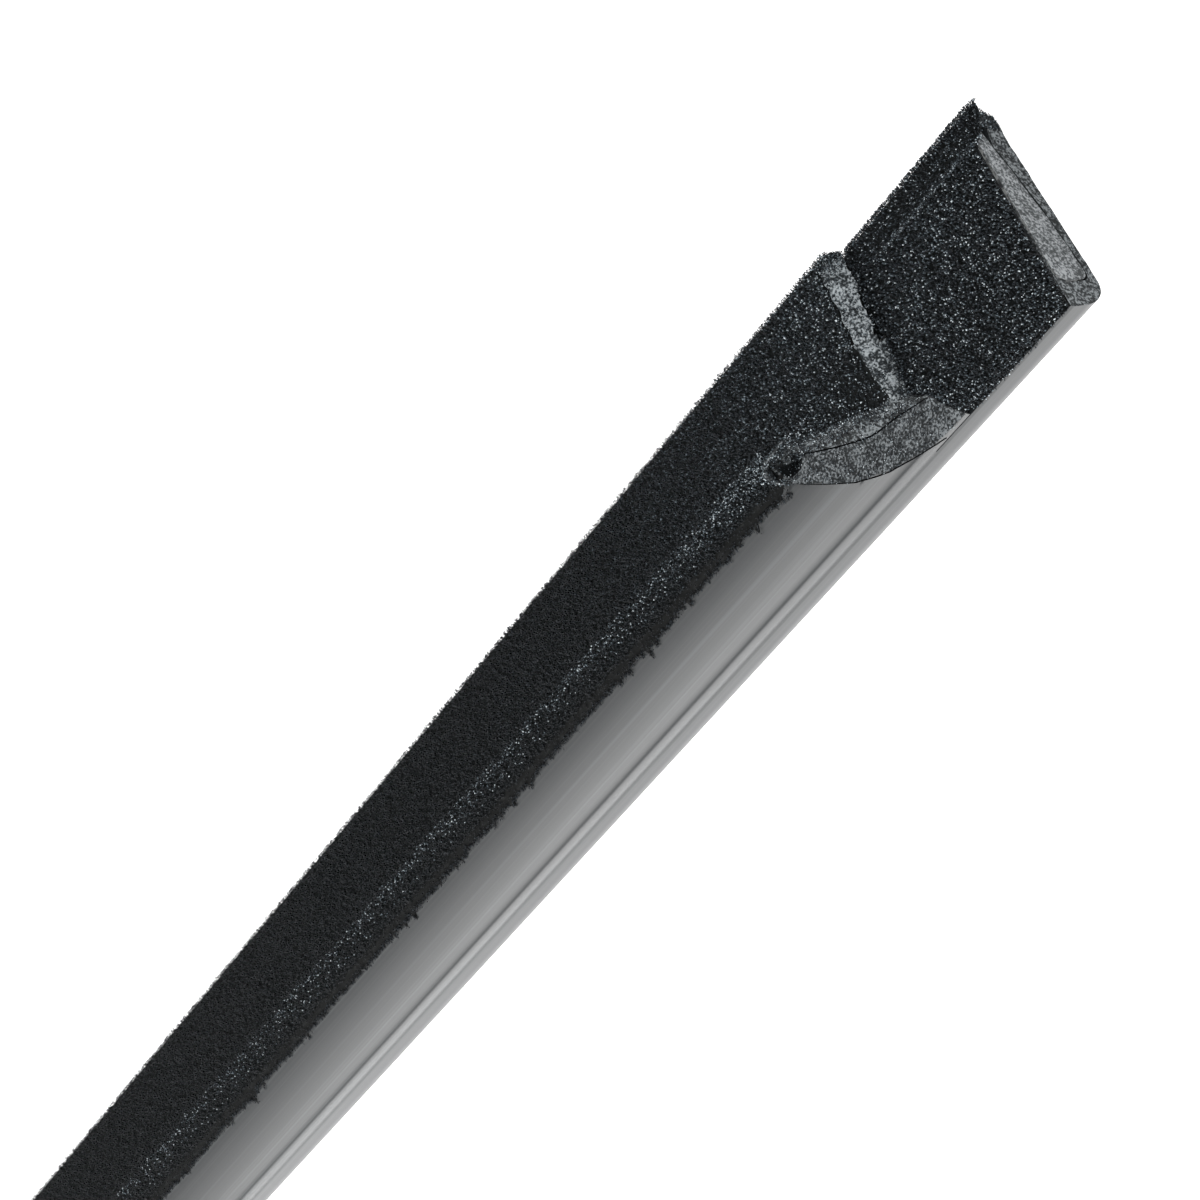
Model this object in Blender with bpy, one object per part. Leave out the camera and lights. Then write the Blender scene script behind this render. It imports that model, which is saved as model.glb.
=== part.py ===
"""Flocked rubber sealing strip, with its lip cut back from one end to bare the flocked ledge below it.

The strip lies along X with its cut-back tip at +X. It stands on its flat underside at Z = 0. Sections are drawn
as (across, up), in millimetres: across runs from 0 at the lip's free edge to WIDTH at the smooth side.
"""

import math

import bmesh
import bpy
from mathutils import Vector

MM = 0.001

# Driving sizes, in millimetres.
LENGTH = 180.0
WIDTH = 15.0
HEIGHT = 5.5
TIP = LENGTH / 2

# Flock is a coat on rubber. A hair of clearance keeps the two solids apart.
COAT = 0.35
CLEAR = 0.08
UNDER_COAT = COAT + CLEAR

# The flocked ledge rises gently towards the smooth side.
LEDGE_LOW = 3.1
LEDGE_RISE = 0.068
LEDGE_EDGE = 14.6

# The lip and its root. The bead turns in the base's groove about the joint axis.
LIP_RIGHT = 6.2
LIP_LIFT = 0.3
WALL_LEFT = 6.65
BEAD_ACROSS = 7.15
BEAD_UP = 4.35
BEAD_RADIUS = 0.3
GROOVE_RADIUS = 0.55
NECK_HALF = 0.16
MOUTH_HALF = 0.42
LIP_CUT_FREE = 13.3
LIP_CUT_ROOT = 15.3

# The smooth side falls away from the shoulder to its rounded edge.
SIDE_DROP = 1.05
SIDE_EDGE = 14.3
SIDE_POWER = 1.5
SHOULDER_FLOCK = (6.8, 8.5)
FILM = (8.62, 9.6)
FILM_THICK = 0.12
FILM_CLEAR = 0.04
SHOULDER_END = 27.2
FILM_END = 25.6

# The stiff core and the clearance round it.
CORE_LEFT = 1.2
CORE_RIGHT = 13.1
CORE_CLEAR = 0.12

# The knife's notch, as stations along the strip: distance from the tip, then across and up at each point.
# Each station lists the notch's left edge, its bottom and its right edge, where it meets the smooth side.
NOTCH = (
    (27.0, 7.25, (7.75, 4.95), 8.4),
    (24.0, 7.5, (8.3, 4.6), 10.7),
    (21.6, 8.3, (9.6, 4.2), 12.4),
    (18.8, 9.3, (10.85, 3.95), 13.6),
    (15.8, 10.4, (11.35, 3.75), 14.35),
    (10.8, 11.2, (12.4, 3.75), 15.3),
)
ABOVE = 8.0


def ledge(across):
    """Height of the flocked ledge's coat."""
    return LEDGE_LOW + LEDGE_RISE * across


def ledge_rubber(across):
    """Height of the rubber and core under the ledge's coat."""
    return ledge(across) - UNDER_COAT


def side(across):
    """Height of the smooth side, from the shoulder to its rounded edge."""
    share = max(0.0, across - WALL_LEFT) / (SIDE_EDGE - WALL_LEFT)
    return HEIGHT - UNDER_COAT - SIDE_DROP * share**SIDE_POWER


def arc(centre, radii, start, stop, steps):
    """Points on an ellipse's arc, with angles in degrees."""
    points = []
    for i in range(steps + 1):
        angle = math.radians(start + (stop - start) * i / steps)
        across = centre[0] + radii[0] * math.cos(angle)
        points.append((across, centre[1] + radii[1] * math.sin(angle)))
    return points


def along_side(start, stop, steps, lift=0.0):
    """Points on the smooth side's profile, from one place across to another."""
    spots = [start + (stop - start) * i / steps for i in range(steps + 1)]
    return [(across, side(across) + lift) for across in spots]


def place(across, up, from_tip):
    """A section point as a world position in metres."""
    return Vector((TIP - from_tip, WIDTH / 2 - across, up)) * MM


def make_object(name, bm):
    """Closes a mesh and puts it in the scene under its name."""
    bmesh.ops.recalc_face_normals(bm, faces=bm.faces)
    mesh = bpy.data.meshes.new(name)
    bm.to_mesh(mesh)
    bm.free()
    obj = bpy.data.objects.new(name, mesh)
    bpy.context.scene.collection.objects.link(obj)
    return obj


def extrude(name, outline, start, stop):
    """A solid of one section, between two distances from the tip."""
    bm = bmesh.new()
    face = bm.faces.new([bm.verts.new(place(a, u, start)) for a, u in outline])
    grown = bmesh.ops.extrude_face_region(bm, geom=[face])
    moved = [item for item in grown["geom"] if isinstance(item, bmesh.types.BMVert)]
    bmesh.ops.translate(bm, verts=moved, vec=Vector((start - stop, 0, 0)) * MM)
    return make_object(name, bm)


def loft(name, stations):
    """A solid through sections with equal numbers of points, each at its own distance from the tip."""
    bm = bmesh.new()
    rings = []
    for from_tip, outline in stations:
        rings.append([bm.verts.new(place(a, u, from_tip)) for a, u in outline])
    count = len(rings[0])
    for near, far in zip(rings, rings[1:]):
        for i in range(count):
            j = (i + 1) % count
            bm.faces.new([near[i], near[j], far[j], far[i]])
    bm.faces.new(rings[0])
    bm.faces.new(rings[-1])
    return make_object(name, bm)


def boolean(obj, cutter, operation):
    """Cuts a helper from an object, or joins it on, and hides the helper."""
    modifier = obj.modifiers.new(cutter.name, "BOOLEAN")
    modifier.operation = operation
    modifier.object = cutter
    modifier.solver = "EXACT"
    cutter.hide_render = True
    cutter.display_type = "WIRE"


def dress(obj, colour, roughness):
    """Gives an object its own plain material."""
    material = bpy.data.materials.new(obj.name)
    material.use_nodes = True
    shader = material.node_tree.nodes["Principled BSDF"]
    shader.inputs["Base Color"].default_value = (*colour, 1.0)
    shader.inputs["Roughness"].default_value = roughness
    shader.inputs["Metallic"].default_value = 0.0
    obj.data.materials.append(material)


def notch_cutter(name):
    """The V-shaped knife cut between the lip's root and the smooth side."""
    stations = []
    for from_tip, left, bottom, right in NOTCH:
        outline = [(left, ABOVE), (left, side(left)), bottom]
        outline += [(right, side(min(right, SIDE_EDGE + 0.5))), (right, ABOVE)]
        stations.append((from_tip, outline))
    return loft(name, stations)


def ledge_cutter(name):
    """Everything above the ledge's rubber, from the tip back to the slanted cut."""
    base = [(-1.0, ledge_rubber(-1.0)), (WIDTH + 1, ledge_rubber(WIDTH + 1))]
    outline = base + [(WIDTH + 1, ABOVE), (-1.0, ABOVE)]
    return extrude(name, outline, -1.0, LIP_CUT_ROOT)


def core_outline(grow):
    """The core's section: thin at the free edge, deep and round at the smooth side. It is grown by a clearance."""
    top = CORE_CLEAR - grow * 1.4
    right = CORE_RIGHT + grow
    outline = [(CORE_LEFT - grow, 1.9 - grow)]
    outline += [(4.6, 1.3 - grow), (7.2, 0.95 - grow), (10.5, 0.68 - grow)]
    outline += arc((right - 0.6, 1.25 - grow), (0.6, 0.6), -90, 0, 5)
    outline += arc((right - 0.95, 2.47 - top), (0.95, 0.95), 0, 85, 7)
    outline += [(CORE_LEFT - grow, ledge_rubber(CORE_LEFT) - top)]
    return outline


def build_base():
    """The extruded rubber base, with its groove, core pocket and knife cuts."""
    outline = arc((1.03, 0.6), (0.6, 0.6), 180, 270, 5)
    outline += arc((13.4, 2.3), (1.6, 2.3), -90, 0, 9)
    outline += arc((SIDE_EDGE, 3.3), (0.7, 0.72), 0, 80, 6)
    outline += along_side(SIDE_EDGE, WALL_LEFT, 14)
    outline += [(WALL_LEFT, BEAD_UP + MOUTH_HALF)]
    mouth = math.degrees(math.asin(MOUTH_HALF / GROOVE_RADIUS))
    centre = (BEAD_ACROSS, BEAD_UP)
    radii = (GROOVE_RADIUS, GROOVE_RADIUS)
    outline += arc(centre, radii, 180 - mouth, mouth - 180, 16)
    outline += [(WALL_LEFT, BEAD_UP - MOUTH_HALF)]
    outline += [(WALL_LEFT, ledge_rubber(WALL_LEFT))]
    outline += [(0.43, ledge_rubber(0.43))]
    base = extrude("rubber_base", outline, 0.0, LENGTH)
    boolean(base, ledge_cutter("ledge_cut"), "DIFFERENCE")
    boolean(base, notch_cutter("notch_cut"), "DIFFERENCE")
    pocket = extrude("core_pocket", core_outline(CORE_CLEAR), -1.0, LENGTH + 1)
    boolean(base, pocket, "DIFFERENCE")
    dress(base, (0.09, 0.092, 0.095), 0.42)


def build_core():
    """The flat stiff core that keeps the strip straight."""
    core = extrude("carrier_strip", core_outline(0.0), 0.0, LENGTH)
    dress(core, (0.26, 0.265, 0.27), 0.7)


def build_base_flock():
    """The flock on the ledge, on the channel under the lip and down the free edge."""
    turn = [(0.0, 0.75), (COAT, 0.75), (COAT, ledge(COAT) - COAT)]
    free = [(0.3, ledge(0.3)), (0.08, ledge(0) - 0.1), (0.0, ledge(0) - 0.3)]
    outline = turn + [(6.3, ledge(6.3) - COAT), (6.3, ledge(6.3))] + free
    flock = extrude("base_flock", outline, 0.0, LENGTH)
    outline = [(5.0, ledge(5.0) - COAT), (LEDGE_EDGE, ledge(LEDGE_EDGE) - COAT)]
    outline += [(LEDGE_EDGE, ledge(LEDGE_EDGE)), (5.0, ledge(5.0))]
    wing = extrude("flock_wing", outline, 0.0, LIP_CUT_ROOT - 0.3)
    corner = loft(
        "flock_corner",
        (
            (17.0, [(10.2, 0.0), (16.0, 0.0), (16.0, ABOVE), (10.2, ABOVE)]),
            (10.2, [(15.0, 0.0), (16.0, 0.0), (16.0, ABOVE), (15.0, ABOVE)]),
        ),
    )
    boolean(flock, wing, "UNION")
    boolean(flock, corner, "DIFFERENCE")
    dress(flock, (0.009, 0.012, 0.013), 0.95)


def build_shoulder():
    """The flock and bare adhesive on top of the smooth side."""
    low = along_side(*SHOULDER_FLOCK, 6, CLEAR)
    high = along_side(SHOULDER_FLOCK[1] - 0.25, SHOULDER_FLOCK[0], 6, UNDER_COAT)
    flock = extrude("shoulder_flock", low + high, SHOULDER_END, LENGTH)
    dress(flock, (0.01, 0.013, 0.014), 0.95)
    low = along_side(*FILM, 4, FILM_CLEAR)
    high = along_side(FILM[1], FILM[0], 4, FILM_CLEAR + FILM_THICK)
    film = extrude("adhesive_film", low + high, FILM_END, LENGTH)
    dress(film, (0.018, 0.018, 0.018), 0.5)


def lip_end_cutter(name):
    """What the slanted cut takes off the lip's end."""
    bm = bmesh.new()
    slant = (LIP_CUT_ROOT - LIP_CUT_FREE) / LIP_RIGHT
    corners = []
    for across, from_tip in ((-2.0, -5.0), (10.0, -5.0), (10.0, None), (-2.0, None)):
        cut = LIP_CUT_FREE + slant * across
        corners.append(bm.verts.new(place(across, -1.0, cut if from_tip is None else from_tip)))
    face = bm.faces.new(corners)
    grown = bmesh.ops.extrude_face_region(bm, geom=[face])
    moved = [item for item in grown["geom"] if isinstance(item, bmesh.types.BMVert)]
    bmesh.ops.translate(bm, verts=moved, vec=Vector((0, 0, ABOVE + 1)) * MM)
    return make_object(name, bm)


def build_lip(axis):
    """The lip with its rooted bead, and the flock on it. Both have their origin on the joint's axis."""
    top = HEIGHT - UNDER_COAT
    outline = [(0.43, ledge(0.43) + LIP_LIFT), (LIP_RIGHT - 0.5, ledge(LIP_RIGHT) + LIP_LIFT - 0.03)]
    outline += [(LIP_RIGHT, ledge(LIP_RIGHT) + LIP_LIFT + 0.15), (LIP_RIGHT, BEAD_UP - NECK_HALF)]
    neck = math.degrees(math.asin(NECK_HALF / BEAD_RADIUS))
    centre = (BEAD_ACROSS, BEAD_UP)
    outline += arc(centre, (BEAD_RADIUS, BEAD_RADIUS), neck - 180, 180 - neck, 14)
    outline += [(LIP_RIGHT, BEAD_UP + NECK_HALF), (LIP_RIGHT, top), (0.75, top)]
    outline += [(0.5, top - 0.1), (0.43, top - 0.3)]
    rubber = extrude("lip_rubber", outline, 0.0, LENGTH)
    dress(rubber, (0.05, 0.051, 0.053), 0.8)
    low = HEIGHT - COAT
    edge = ledge(0.0) + LIP_LIFT
    outline = [(0.0, edge), (COAT, edge), (COAT, low - 0.22), (0.62, low)]
    outline += [(LIP_RIGHT - 0.05, low), (LIP_RIGHT - 0.05, HEIGHT), (0.45, HEIGHT)]
    outline += [(0.12, HEIGHT - 0.12), (0.0, HEIGHT - 0.42)]
    flock = extrude("lip_flock", outline, 0.0, LENGTH)
    dress(flock, (0.009, 0.012, 0.013), 0.95)
    cutter = lip_end_cutter("lip_end")
    for obj in (rubber, flock):
        boolean(obj, cutter, "DIFFERENCE")
        obj.data.transform(axis.matrix_world.inverted())
        obj.parent = axis


def build_axis():
    """The empty on the lip's joint axis."""
    axis = bpy.data.objects.new("lip_axis", None)
    axis.location = place(BEAD_ACROSS, BEAD_UP, LENGTH / 2)
    bpy.context.scene.collection.objects.link(axis)
    bpy.context.view_layer.update()
    return axis


def main():
    """Clears the scene and builds every piece."""
    for obj in list(bpy.data.objects):
        bpy.data.objects.remove(obj, do_unlink=True)
    build_base()
    build_core()
    build_base_flock()
    build_shoulder()
    build_lip(build_axis())


main()
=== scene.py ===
"""Flocked rubber sealing strip: the visible model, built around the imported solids.

The strip lies along X with its cut-back tip at +X. Sections are written as (across, up) in millimetres, where
across runs from 0 at the lip's free edge to the strip's full width at the smooth side.
"""

import logging
import math
from dataclasses import dataclass, field
from enum import Enum
from typing import Any, Callable, Iterable, Sequence

import bmesh
import bpy
import numpy as np
from mathutils import Matrix, Vector, noise


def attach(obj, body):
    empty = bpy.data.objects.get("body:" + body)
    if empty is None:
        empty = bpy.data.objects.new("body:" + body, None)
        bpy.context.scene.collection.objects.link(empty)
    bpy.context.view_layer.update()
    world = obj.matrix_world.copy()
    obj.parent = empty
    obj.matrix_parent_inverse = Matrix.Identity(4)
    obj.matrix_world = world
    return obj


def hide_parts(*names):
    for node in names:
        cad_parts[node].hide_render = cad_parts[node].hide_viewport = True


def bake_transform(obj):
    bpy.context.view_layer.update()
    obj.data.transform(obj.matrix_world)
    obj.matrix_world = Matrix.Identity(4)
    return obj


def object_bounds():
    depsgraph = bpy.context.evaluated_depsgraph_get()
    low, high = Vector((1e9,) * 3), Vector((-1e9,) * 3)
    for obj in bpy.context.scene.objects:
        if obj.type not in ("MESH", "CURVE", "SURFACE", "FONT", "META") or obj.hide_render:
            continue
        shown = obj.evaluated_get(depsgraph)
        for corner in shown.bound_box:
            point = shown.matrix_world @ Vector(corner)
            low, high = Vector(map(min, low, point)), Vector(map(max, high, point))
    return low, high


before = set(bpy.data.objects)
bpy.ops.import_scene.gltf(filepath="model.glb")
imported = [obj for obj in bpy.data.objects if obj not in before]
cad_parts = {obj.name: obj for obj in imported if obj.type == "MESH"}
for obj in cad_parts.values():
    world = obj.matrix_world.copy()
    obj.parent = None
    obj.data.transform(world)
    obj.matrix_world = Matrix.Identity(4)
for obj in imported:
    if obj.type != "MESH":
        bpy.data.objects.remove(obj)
CAD_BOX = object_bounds()

log = logging.getLogger("strip")
MM = 0.001
Point = tuple[float, float]
Array = np.ndarray
Number = float | Array
Spots = tuple[Array, Array]


class Body(Enum):
    """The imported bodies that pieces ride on."""

    BASE = "base"
    LIP = "lip"


class Skin(Enum):
    """Material slots on a rubber piece."""

    MOULDED = 0
    CUT = 1
    # The black bed's slot: real adhesive under flock, and painted shade in the knife's slit, its overrun line and
    # the notch's pocket.
    ADHESIVE_AND_SHADE = 2
    FLANK = 3
    BAND = 4


@dataclass(frozen=True)
class Section:
    """The strip's section and its formulas, in millimetres.

    Args:
        tip: where the cut-back end is along X.
        far: where the other end is along X.
        width: the strip's width.
        height: the strip's height, to the top of the flock.
        coat: thickness of a flock coat.
        under: the coat and the clearance below it.
        ledge_low: height of the ledge's flock at the free edge.
        ledge_rise: how much it rises for each millimetre across.
        lip_lift: the gap between the lip and the ledge.
        lip_right: where the lip ends across, at the web.
        wall_left: where the root's wall starts across, beyond the web.
        side_edge: where the smooth side's rounding starts across.
        side_drop: how much the side falls up to there.
        side_power: how its slope grows.
        round_up: height of the rounding's centre.
        round_size: the rounding's half-width and height.
    """

    tip: float = CAD_BOX[1].x / MM
    far: float = CAD_BOX[0].x / MM
    width: float = (CAD_BOX[1].y - CAD_BOX[0].y) / MM
    height: float = CAD_BOX[1].z / MM
    coat: float = 0.35
    under: float = 0.43
    ledge_low: float = 3.1
    ledge_rise: float = 0.068
    lip_lift: float = 0.3
    lip_right: float = 6.2
    wall_left: float = 6.65
    side_edge: float = 14.3
    side_drop: float = 1.05
    side_power: float = 1.5
    round_up: float = 3.3
    round_size: Point = (0.7, 0.72)

    @property
    def length(self) -> float:
        """The strip's whole length."""
        return self.tip - self.far

    def ledge(self, across: Number) -> Number:
        """Height of the ledge's flock."""
        return self.ledge_low + self.ledge_rise * across

    def ledge_rubber(self, across: Number) -> Number:
        """Height of the rubber under the ledge's flock."""
        return self.ledge(across) - self.under

    def side(self, across: Number) -> Number:
        """Height of the smooth side."""
        share = np.maximum(0.0, across - self.wall_left) / (self.side_edge - self.wall_left)
        return self.height - self.under - self.side_drop * share**self.side_power

    def place(self, from_tip: float, across: float, up: float) -> Vector:
        """A section point as a world position, in metres."""
        return Vector((self.tip - from_tip, self.width / 2 - across, up)) * MM


@dataclass(frozen=True)
class Notch:
    """The knife's V-shaped notch, as stations of distance from the tip.

    Args:
        from_tip: the stations.
        left: across, at the notch's left edge.
        bottom: across, at its bottom.
        depth: up, at its bottom.
        right: across, where it meets the smooth side.
        pocket: the hollow at its blind end, painted dark as painted shade, as distance from the tip and across.
        pocket_size: how wide and how deep the hollow is.
        closing: how fast the notch closes beyond its last station.
    """

    from_tip: tuple[float, ...] = (10.8, 15.8, 18.8, 21.6, 24.0, 27.0)
    left: tuple[float, ...] = (11.2, 10.4, 9.3, 8.3, 7.5, 7.25)
    bottom: tuple[float, ...] = (12.4, 11.35, 10.85, 9.6, 8.3, 7.75)
    depth: tuple[float, ...] = (3.8, 3.8, 3.95, 4.2, 4.6, 4.95)
    right: tuple[float, ...] = (15.3, 14.35, 13.6, 12.4, 10.7, 8.4)
    pocket: Point = (25.3, 7.8)
    pocket_size: Point = (0.95, 1.0)
    closing: float = 0.6

    def at(self, from_tip: Number) -> tuple[Number, Number, Number, Number]:
        """The left edge, the bottom, its depth and the right edge at one distance from the tip."""
        rows = (self.left, self.bottom, self.depth, self.right)
        return tuple(np.interp(from_tip, self.from_tip, row) for row in rows)

    def floor(self, from_tip: Number, across: Number) -> Number:
        """Height of the knife's path: the notch's two faces, carried on beyond its edges.

        Args:
            from_tip: distance from the tip.
            across: place across.

        Returns:
            The height.
        """
        left, bottom, depth, right = self.at(from_tip)
        top_left, top_right = SECTION.side(left), SECTION.side(np.minimum(right, SECTION.side_edge + 0.5))
        flank = depth + (top_left - depth) * (bottom - across) / (bottom - left)
        facet = depth + (top_right - depth) * (across - bottom) / (right - bottom)
        closing = self.closing * np.maximum(0.0, from_tip - self.from_tip[-1])
        away = np.hypot(from_tip - self.pocket[0], across - self.pocket[1])
        wide, deep = self.pocket_size
        return np.maximum(flank, facet) + closing - deep * np.exp(-((away / wide) ** 2))


@dataclass(frozen=True)
class KnifeWall:
    """The cut across the lip and its root, from the free edge to the smooth side's corner.

    Args:
        across: places across the strip.
        top: the cut's distance from the tip there, at the flocked top.
        foot: its distance from the tip there, at the ledge.
        foot_up: the ledge's height.
        tall: how far the flocked top is above it.
    """

    across: tuple[float, ...] = (0.0, 1.0, 5.8, 8.2, 10.7, 11.7, 15.0, 16.5)
    top: tuple[float, ...] = (13.2, 14.6, 15.2, 15.7, 15.4, 13.7, 11.0, 10.3)
    foot: tuple[float, ...] = (13.3, 13.4, 13.6, 14.1, 14.4, 13.2, 10.9, 10.3)
    foot_up: float = 3.3
    tall: float = 2.2

    def reach(self, across: Number, up: Number) -> Number:
        """The cut's distance from the tip, at a place across and a height."""
        share = np.clip((up - self.foot_up) / self.tall, 0.0, 1.0)
        foot, top = (np.interp(across, self.across, row) for row in (self.foot, self.top))
        return foot * (1 - share) + top * share

    def behind(self, gap: float, up: float | None = None) -> Callable[[Array], Array]:
        """Says whether flock stands behind the cut by a gap, at one height or each spot at its own."""
        return lambda spots: spots[:, 0] > self.reach(spots[:, 1], spots[:, 2] if up is None else up) + gap


SECTION = Section()
NOTCH = Notch()
WALL = KnifeWall()


def linear(colour: str) -> tuple[float, float, float, float]:
    """Turns an sRGB hex colour into linear RGBA.

    Args:
        colour: the colour, as "#RRGGBB".

    Returns:
        Its linear values, with an alpha of 1.
    """
    values = [int(colour[i : i + 2], 16) / 255 for i in (1, 3, 5)]
    turned = [v / 12.92 if v <= 0.04045 else ((v + 0.055) / 1.055) ** 2.4 for v in values]
    return (*turned, 1.0)


def add_node(tree: bpy.types.NodeTree, kind: str, settings: dict | None = None, **links) -> bpy.types.Node:
    """Adds a node, with its settings and its links.

    Args:
        tree: the material's node tree.
        kind: the node's type name.
        settings: attributes, or input sockets where the key is a number.
        links: output sockets to link, each named for the input it feeds.

    Returns:
        The new node.
    """
    made = tree.nodes.new(kind)
    for key, value in (settings or {}).items():
        if isinstance(key, int):
            made.inputs[key].default_value = value
        else:
            setattr(made, key, value)
    for key, socket in links.items():
        target = made.inputs[int(key[1:])] if key[1:].isdigit() else made.inputs[key.replace("_", " ")]
        tree.links.new(socket, target)
    return made


def ramp(
    tree: bpy.types.NodeTree, value: bpy.types.NodeSocket, stops: Sequence[tuple[float, str]]
) -> bpy.types.NodeSocket:
    """Turns a value into a colour.

    Args:
        tree: the material's node tree.
        value: the socket to read.
        stops: each colour's place from 0 to 1, and its sRGB hex.

    Returns:
        The colour's socket.
    """
    made = add_node(tree, "ShaderNodeValToRGB", Fac=value)
    points = made.color_ramp.elements
    while len(points) < len(stops):
        points.new(0.5)
    for point, (place, colour) in zip(points, stops):
        point.position = place
        point.color = linear(colour)
    return made.outputs["Color"]


@dataclass(frozen=True)
class Finish:
    """What every finish shares: a name, a base colour and a Principled shader.

    Args:
        name: the material's common name and process.
        colour: sRGB hex.
        roughness: how wide its gloss is.
        specular: the strength of its gloss.
    """

    name: str
    colour: str
    roughness: float
    specular: float = 0.5

    def material(self) -> bpy.types.Material:
        """Makes the material and lays its pattern.

        Returns:
            The material.
        """
        made = bpy.data.materials.new(self.name)
        made.use_nodes = True
        tree = made.node_tree
        shader = tree.nodes["Principled BSDF"]
        shader.inputs["Base Color"].default_value = linear(self.colour)
        shader.inputs["Roughness"].default_value = self.roughness
        shader.inputs["Specular IOR Level"].default_value = self.specular
        shader.inputs["IOR"].default_value = 1.5
        self.pattern(tree, shader)
        return made

    def pattern(self, tree: bpy.types.NodeTree, shader: bpy.types.Node) -> None:
        """Lays the finish's own pattern. A plain finish has none.

        Args:
            tree: the material's node tree.
            shader: its shader.
        """

    def coordinates(self, tree: bpy.types.NodeTree, scale: Sequence[float]) -> bpy.types.NodeSocket:
        """Object coordinates with a scale.

        Args:
            tree: the material's node tree.
            scale: what to multiply them by, along X, Y and Z.

        Returns:
            Their socket.
        """
        source = add_node(tree, "ShaderNodeTexCoord")
        mapped = add_node(tree, "ShaderNodeMapping", {3: scale}, Vector=source.outputs["Object"])
        return mapped.outputs["Vector"]

    def noise(
        self, tree: bpy.types.NodeTree, period_mm: Sequence[float], detail: float = 3.0
    ) -> bpy.types.NodeSocket:
        """Noise on Object coordinates.

        Args:
            tree: the material's node tree.
            period_mm: how long its grains are along X, Y and Z.
            detail: how many finer layers it has.

        Returns:
            The noise's socket, from 0 to 1.
        """
        where = self.coordinates(tree, [1000.0 / p for p in period_mm])
        made = add_node(tree, "ShaderNodeTexNoise", {"normalize": True}, Vector=where)
        made.inputs["Scale"].default_value = 1.0
        made.inputs["Detail"].default_value = detail
        return made.outputs["Fac"]

    def bump(
        self, tree: bpy.types.NodeTree, shader: bpy.types.Node, height: bpy.types.NodeSocket, deep_mm: float
    ) -> None:
        """Raises the surface where a value is high.

        Args:
            tree: the material's node tree.
            shader: the shader that takes the normal.
            height: the value's socket.
            deep_mm: how high the surface stands where the value is 1.
        """
        made = add_node(tree, "ShaderNodeBump", Height=height)
        made.inputs["Strength"].default_value = 1.0
        made.inputs["Distance"].default_value = deep_mm * MM
        tree.links.new(made.outputs["Normal"], shader.inputs["Normal"])


@dataclass(frozen=True)
class ExtrudedRubber(Finish):
    """EPDM rubber out of an extruder: satin, with fine die lines along its whole length.

    It gives the eye a soft grey sheen drawn out along the strip. Beside the flock it is hazed with adhesive, so
    its gloss grows from there towards the smooth edge. Real die lines are a few hundredths of a millimetre apart.
    These are drawn coarser so that they show.

    Args:
        line_mm: how far apart the die lines are.
        hazy_mm: where it is dullest, along Y.
        edge_mm: the strip's smooth edge, along Y, where handling has dulled it again.
    """

    line_mm: float = 0.22
    hazy_mm: float = -1.2
    edge_mm: float = -7.5

    def pattern(self, tree: bpy.types.NodeTree, shader: bpy.types.Node) -> None:
        """Die lines run along X: they are long along X and a fraction of a millimetre across.

        Args:
            tree: the material's node tree.
            shader: its shader.
        """
        fine = self.noise(tree, (140.0, self.line_mm, self.line_mm), 2.0)
        broad = self.noise(tree, (260.0, 1.7, 1.7), 1.0)
        both = add_node(tree, "ShaderNodeMath", {"operation": "ADD"}, _0=fine, _1=broad)
        half = add_node(tree, "ShaderNodeMath", {"operation": "MULTIPLY", 1: 0.5}, _0=both.outputs[0])
        stops = ((0.36, "#15181A"), (0.5, self.colour), (0.62, "#2E3132"))
        tree.links.new(ramp(tree, half.outputs[0], stops), shader.inputs["Base Color"])
        self.bump(tree, shader, half.outputs[0], 0.008)
        place = add_node(tree, "ShaderNodeSeparateXYZ", Vector=self.coordinates(tree, (1, 1, 1)))
        across = add_node(
            tree, "ShaderNodeMapRange", {1: self.hazy_mm * MM, 2: self.edge_mm * MM}, Value=place.outputs["Y"]
        )
        gloss = ramp(tree, across.outputs[0], ((0.0, "#9E9E9E"), (0.82, "#FFFFFF"), (0.9, "#B4B4B4")))
        tree.links.new(gloss, shader.inputs["Specular IOR Level"])


@dataclass(frozen=True)
class CutRubber(Finish):
    """Rubber cut with a knife: matt and pale, with filler grains and pores.

    It gives the eye a dull, speckled grey that stands out from the black flock. Real filler grains are under
    0.05 mm wide. These are drawn coarser so that they show.

    Args:
        pale: sRGB hex of the lightest grains.
        dark: sRGB hex of the pores.
        grain_mm: how wide a grain is.
        blotch_mm: how wide the lighter and darker patches are.
        blotch: how strong they are.
    """

    pale: str = "#8E9090"
    dark: str = "#3A3C3D"
    grain_mm: float = 0.16
    blotch_mm: float = 0.9
    blotch: float = 0.4

    def pattern(self, tree: bpy.types.NodeTree, shader: bpy.types.Node) -> None:
        """Grains of filler, lighter and darker, in a bumpy face.

        Args:
            tree: the material's node tree.
            shader: its shader.
        """
        fine = self.noise(tree, (self.grain_mm,) * 3, 4.0)
        broad = self.noise(tree, (self.blotch_mm,) * 3, 2.0)
        settings = {"operation": "MULTIPLY_ADD", 1: self.blotch, 2: -self.blotch / 2}
        about = add_node(tree, "ShaderNodeMath", settings, _0=broad)
        both = add_node(tree, "ShaderNodeMath", {"operation": "ADD"}, _0=fine, _1=about.outputs[0])
        stops = ((0.4, self.dark), (0.5, self.colour), (0.61, self.pale))
        tree.links.new(ramp(tree, both.outputs[0], stops), shader.inputs["Base Color"])
        self.bump(tree, shader, both.outputs[0], 0.07)


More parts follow.
